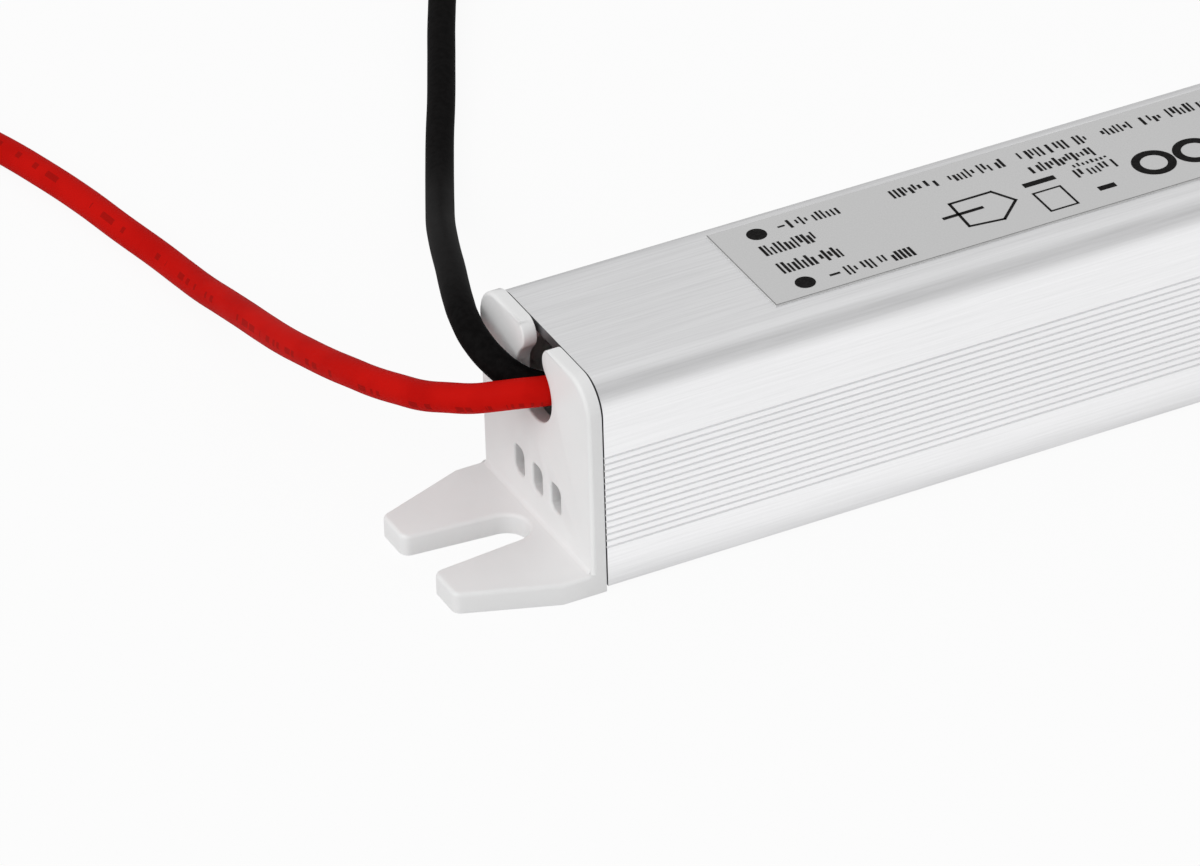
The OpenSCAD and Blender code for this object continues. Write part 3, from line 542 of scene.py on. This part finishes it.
def extrudedAluminium():
    material, tree, shader = newMaterial("anodised aluminium", Metallic=1.0)
    place = addNode(tree, "ShaderNodeTexCoord").outputs
    along, across = perMetre / aluminium["lineLength"], perMetre / aluminium["lineWidth"]
    drawn = addNode(tree, "ShaderNodeMapping", {
        "Vector": place["Object"], "Scale": (along, across, across)})
    lines = addNode(tree, "ShaderNodeTexNoise", {
        "Vector": drawn.outputs["Vector"], "Scale": 1.0, "Detail": 3.0, "Roughness": 0.6}).outputs["Fac"]
    tone = addTone(tree, lines, aluminium["grey"], aluminium["pale"], *aluminium["toneSpan"])
    facing = addNode(tree, "ShaderNodeSeparateXYZ", {"Vector": place["Normal"]}).outputs
    # end faces of the tube: dark grey blended in, partly bare sawn metal and partly painted shade for
    # the shaded ends at the caps
    sawnEndAndShade = addRange(tree, addMath(tree, "ABSOLUTE", facing["X"]), *aluminium["endOn"])
    skin = addBlend(tree, sawnEndAndShade, tone, toLinear(aluminium["sawnEndAndShade"]))
    rough = addRange(tree, lines, *aluminium["roughSpan"], *aluminium["rough"])
    tree.links.new(skin, shader.inputs["Base Color"])
    tree.links.new(rough, shader.inputs["Roughness"])
    addBump(tree, shader, lines, *aluminium["bump"])
    return material


# moulded polycarbonate blend: white, satin, a fine spark-eroded grain
whitePlastic = {"pale": "#F3F3F3", "shade": "#F0F0F0", "grain": 0.18, "cloud": 6, "bump": (0.06, 0.02)}


def mouldedWhite():
    material, tree, shader = newMaterial("white moulded polycarbonate", IOR=1.58, Roughness=0.42)
    place = addNode(tree, "ShaderNodeTexCoord").outputs["Object"]
    cloud = addNoise(tree, place, whitePlastic["cloud"])
    tone = addTone(tree, cloud, whitePlastic["shade"], whitePlastic["pale"])
    tree.links.new(tone, shader.inputs["Base Color"])
    addBump(tree, shader, addNoise(tree, place, whitePlastic["grain"]), *whitePlastic["bump"])
    return material


# silver-grey printed polyester foil: even, satin, faint speckle from the print screen
foil = {"pale": "#D2D2D2", "shade": "#CCCCCC", "speckle": 0.12, "toneSpan": (0.3, 0.7)}


def labelFoil():
    material, tree, shader = newMaterial("silver polyester foil", IOR=1.5, Roughness=0.38)
    place = addNode(tree, "ShaderNodeTexCoord").outputs["Object"]
    speckle = addNoise(tree, place, foil["speckle"], detail=1.0)
    tone = addTone(tree, speckle, foil["shade"], foil["pale"], *foil["toneSpan"])
    tree.links.new(tone, shader.inputs["Base Color"])
    return material


# plain finishes: two tones, grain, roughness, metallic, sheen, bump strength
finishes = {
    "black printing ink": ("#1B1A1A", "#262525", 0.15, 0.45, 0.0, 0.01, 0.02),
    "foil edge in shade": ("#8C8C8C", "#989898", 0.3, 0.5, 0.0, 0.2, 0.02),
    "black soft PVC": ("#0F0E0E", "#151414", 0.5, 0.5, 0.0, 0.01, 0.04),
    "tinned copper strand": ("#B9BBBD", "#D2D4D6", 0.2, 0.3, 1.0, 0.5, 0.05),
    "clear insulating film": ("#EDEAD6", "#F4F2E4", 3.0, 0.3, 0.0, 0.2, 0.02),
    "bright solder": ("#B4B7BA", "#D0D3D6", 0.4, 0.25, 1.0, 0.5, 0.08),
    "enamelled copper wire": ("#9C5B2B", "#C07A42", 0.3, 0.3, 0.9, 0.5, 0.3),
    "sintered ferrite": ("#2B2B2D", "#3E3E41", 0.25, 0.7, 0.0, 0.2, 0.2),
    "shrink sleeve": ("#1E2B4C", "#26365C", 2.0, 0.28, 0.0, 0.2, 0.03),
    "moulded epoxy": ("#1A1A1C", "#252528", 0.2, 0.55, 0.0, 0.2, 0.12),
    "white moulded epoxy": ("#E0DED8", "#EAE8E2", 0.2, 0.5, 0.0, 0.2, 0.1),
    "yellow polyester tape": ("#D8B23A", "#E4C455", 1.5, 0.3, 0.0, 0.2, 0.05),
    "blue dipped lacquer": ("#1F5C9C", "#2B6FB0", 0.8, 0.3, 0.0, 0.2, 0.12),
    "brown dipped lacquer": ("#94401F", "#A8502C", 0.8, 0.3, 0.0, 0.2, 0.12),
    "yellow box moulding": ("#CDB836", "#DAC64A", 0.3, 0.45, 0.0, 0.2, 0.08),
    "resistor lacquer": ("#5F8FA8", "#74A3BA", 0.6, 0.35, 0.0, 0.2, 0.1),
    "glazed fuse body": ("#CFCABB", "#DFDBCE", 1.0, 0.25, 0.0, 0.2, 0.03),
}
finishDepth = 0.05


def plainFinish(name):
    dark, pale, grain, rough, metal, sheen, height = finishes[name]
    material, tree, shader = newMaterial(
        name, Roughness=rough, Metallic=metal, Specular_IOR_Level=sheen)
    place = addNode(tree, "ShaderNodeTexCoord").outputs["Object"]
    noise = addNoise(tree, place, grain)
    tree.links.new(addTone(tree, noise, dark, pale), shader.inputs["Base Color"])
    addBump(tree, shader, noise, height, finishDepth)
    return material


# glass-epoxy laminate under green solder resist: copper runs show as paler bands
laminate = {"resist": "#1F5A2C", "copper": "#2F7A3C", "run": 2.4, "between": 0.06, "bump": (0.1, 0.03)}


def boardLaminate():
    material, tree, shader = newMaterial("green glass-epoxy laminate", Roughness=0.4)
    place = addNode(tree, "ShaderNodeTexCoord").outputs["Object"]
    runs = addNode(tree, "ShaderNodeTexBrick", {
        "Vector": place, "Scale": perMetre / laminate["run"], "Mortar Size": laminate["between"],
        "Color1": toLinear(laminate["copper"]), "Color2": toLinear(laminate["copper"]),
        "Mortar": toLinear(laminate["resist"])}).outputs
    tree.links.new(runs["Color"], shader.inputs["Base Color"])
    addBump(tree, shader, runs["Fac"], *laminate["bump"])
    return material


# soft red PVC: saturated, hardly any sheen, worn dark dashes of print that creep round the lead
redPvc = {
    "deep": "#BC0F0A", "bright": "#C8130D", "print": "#6E0F0D", "cloud": 4, "bump": (0.05, 0.05),
    # print line on the wrapped surface: place at the start, creep along the lead, half width
    "start": 0.005, "creep": 0.52, "half": 0.036, "worn": 0.42,
    # dashes along the lead and the groups that they come in: scale, level above which they print
    "strokes": (130.0, 0.5), "groups": (40.0, 0.48),
}


def addDashes(tree, along, scale, level):
    noise = addNode(tree, "ShaderNodeTexNoise", {
        "W": along, "Scale": scale, "Detail": 0.0}, noise_dimensions="1D")
    return addMath(tree, "GREATER_THAN", noise.outputs["Fac"], level)


def redInsulation():
    material, tree, shader = newMaterial("red soft PVC", Roughness=0.5, Specular_IOR_Level=0.02)
    place = addNode(tree, "ShaderNodeTexCoord").outputs["Object"]
    cloud = addNoise(tree, place, redPvc["cloud"], detail=3.0)
    tone = addTone(tree, cloud, redPvc["deep"], redPvc["bright"])
    wrap = addNode(tree, "ShaderNodeUVMap", uv_map="UVMap").outputs["UV"]
    sides = addNode(tree, "ShaderNodeSeparateXYZ", {"Vector": wrap}).outputs
    drift = addMath(tree, "MULTIPLY_ADD", sides["X"], -redPvc["creep"], sides["Y"])
    line = addMath(tree, "COMPARE", drift, redPvc["start"], redPvc["half"])
    strokes = addDashes(tree, sides["X"], *redPvc["strokes"])
    groups = addDashes(tree, sides["X"], *redPvc["groups"])
    dashes = addMath(tree, "MULTIPLY", strokes, groups)
    marks = addMath(tree, "MULTIPLY", dashes, line)
    faint = addMath(tree, "MULTIPLY", marks, redPvc["worn"])
    colour = addBlend(tree, faint, tone, toLinear(redPvc["print"]))
    tree.links.new(colour, shader.inputs["Base Color"])
    addBump(tree, shader, cloud, *redPvc["bump"])
    return material


made = {name: plainFinish(name) for name in finishes}
slotFinish = {
    "aluminium_extrusion": extrudedAluminium(),
    "white_moulded_plastic": mouldedWhite(),
    "label_foil": labelFoil(),
    "insulating_film": made["clear insulating film"],
    "board_laminate": boardLaminate(),
    "tinned_metal": made["bright solder"],
    "copper": made["enamelled copper wire"],
    "ferrite": made["sintered ferrite"],
    "capacitor_sleeve": made["shrink sleeve"],
    "black_epoxy": made["moulded epoxy"],
    "white_epoxy": made["white moulded epoxy"],
    "winding_tape": made["yellow polyester tape"],
    "blue_dip_coat": made["blue dipped lacquer"],
    "brown_dip_coat": made["brown dipped lacquer"],
    "yellow_box_plastic": made["yellow box moulding"],
    "resistor_lacquer": made["resistor lacquer"],
    "fuse_ceramic": made["glazed fuse body"],
    "red_pvc": redInsulation(),
    "black_pvc": made["black soft PVC"],
}
for part in frame["record"]["subparts"]:
    paint(nodes[part["node"]], slotFinish[part["material_slot"]])
paint(tubePiece, slotFinish["aluminium_extrusion"])
for cap in capPieces:
    paint(cap, slotFinish["white_moulded_plastic"])
paint(labelPrint, made["black printing ink"])
paint(labelEdge, made["foil edge in shade"])
paint(redLead, slotFinish["red_pvc"])
paint(blackLead, slotFinish["black_pvc"])
paint(redTip, made["tinned copper strand"])
paint(blackTip, made["tinned copper strand"])
print("materials set")


# studio: white sweep, long soft bands of light over the tube and a soft box on the left

studio = {
    "floor": "#E0E0E0", "floorSize": 8, "floorDrop": 0.02, "clean": 0.93,
    # the reflected floor dims to a share between these two distances from the tube's middle
    "dimSpan": (-12, -8), "dim": 0.5,
    # strength of the surround from the back, over the top, to the front
    "bands": [
        (0.0, 0.5), (0.17, 0.64), (0.24, 0.69), (0.42, 0.8), (0.6, 0.5), (0.8, 0.55), (0.95, 1.0),
        (1.0, 1.0),
    ],
    # soft box, in metres and watts
    "keyPlace": (-1.25, -0.2, 0.95), "keyAim": (-0.06, 0, 0), "keySize": 1.4, "keyPower": 8,
}
bpy.ops.object.select_all(action="DESELECT")
bpy.ops.mesh.primitive_plane_add(
    size=studio["floorSize"], location=(0, 0, -studio["floorDrop"] * mm))
floor = bpy.context.object
floor.name = "floor"
floorPaint, tree, shader = newMaterial("white paper sweep", Roughness=0.9, Specular_IOR_Level=0.0)
shader.inputs["Base Color"].default_value = toLinear(studio["floor"])
rays = addNode(tree, "ShaderNodeLightPath").outputs
seen = addMath(tree, "MULTIPLY", rays["Is Camera Ray"], studio["clean"])
share = addMath(tree, "MAXIMUM", seen, rays["Is Glossy Ray"])
spot = addNode(tree, "ShaderNodeTexCoord").outputs["Object"]
depth = addNode(tree, "ShaderNodeSeparateXYZ", {"Vector": spot}).outputs["Y"]
fall = addRange(tree, depth, *(y * mm for y in studio["dimSpan"]), 1.0, studio["dim"])
bright = addMath(tree, "MAXIMUM", rays["Is Camera Ray"], fall)
white = addNode(tree, "ShaderNodeEmission", {"Color": (1, 1, 1, 1), "Strength": bright})
mixed = addNode(tree, "ShaderNodeMixShader", {
    0: share, 1: shader.outputs["BSDF"], 2: white.outputs["Emission"]})
tree.links.new(mixed.outputs["Shader"], tree.nodes["Material Output"].inputs["Surface"])
paint(floor, floorPaint)

world = bpy.data.worlds.new("studio")
bpy.context.scene.world = world
world.use_nodes = True
tree = world.node_tree
sky = addNode(tree, "ShaderNodeTexCoord").outputs["Generated"]
toward = addNode(tree, "ShaderNodeSeparateXYZ", {"Vector": sky}).outputs
around = addMath(tree, "ARCTAN2", toward["Z"], toward["Y"])
glow = addNode(tree, "ShaderNodeValToRGB", {"Fac": addRange(tree, around, 0.0, math.pi)})
setRamp(glow, [(place, (level, level, level, 1)) for place, level in studio["bands"]])
tree.links.new(glow.outputs["Color"], tree.nodes["Background"].inputs["Color"])
tree.nodes["Background"].inputs["Strength"].default_value = 1.0

lamp = bpy.data.lights.new("key", "AREA")
lamp.shape = "DISK"
lamp.size = studio["keySize"]
lamp.energy = studio["keyPower"]
key = bpy.data.objects.new("key", lamp)
bpy.context.scene.collection.objects.link(key)
key.location = studio["keyPlace"]
aim = Vector(studio["keyAim"]) - Vector(studio["keyPlace"])
key.rotation_euler = aim.to_track_quat("-Z", "Y").to_euler()
bpy.context.scene.view_settings.view_transform = "Standard"
print("studio lit")
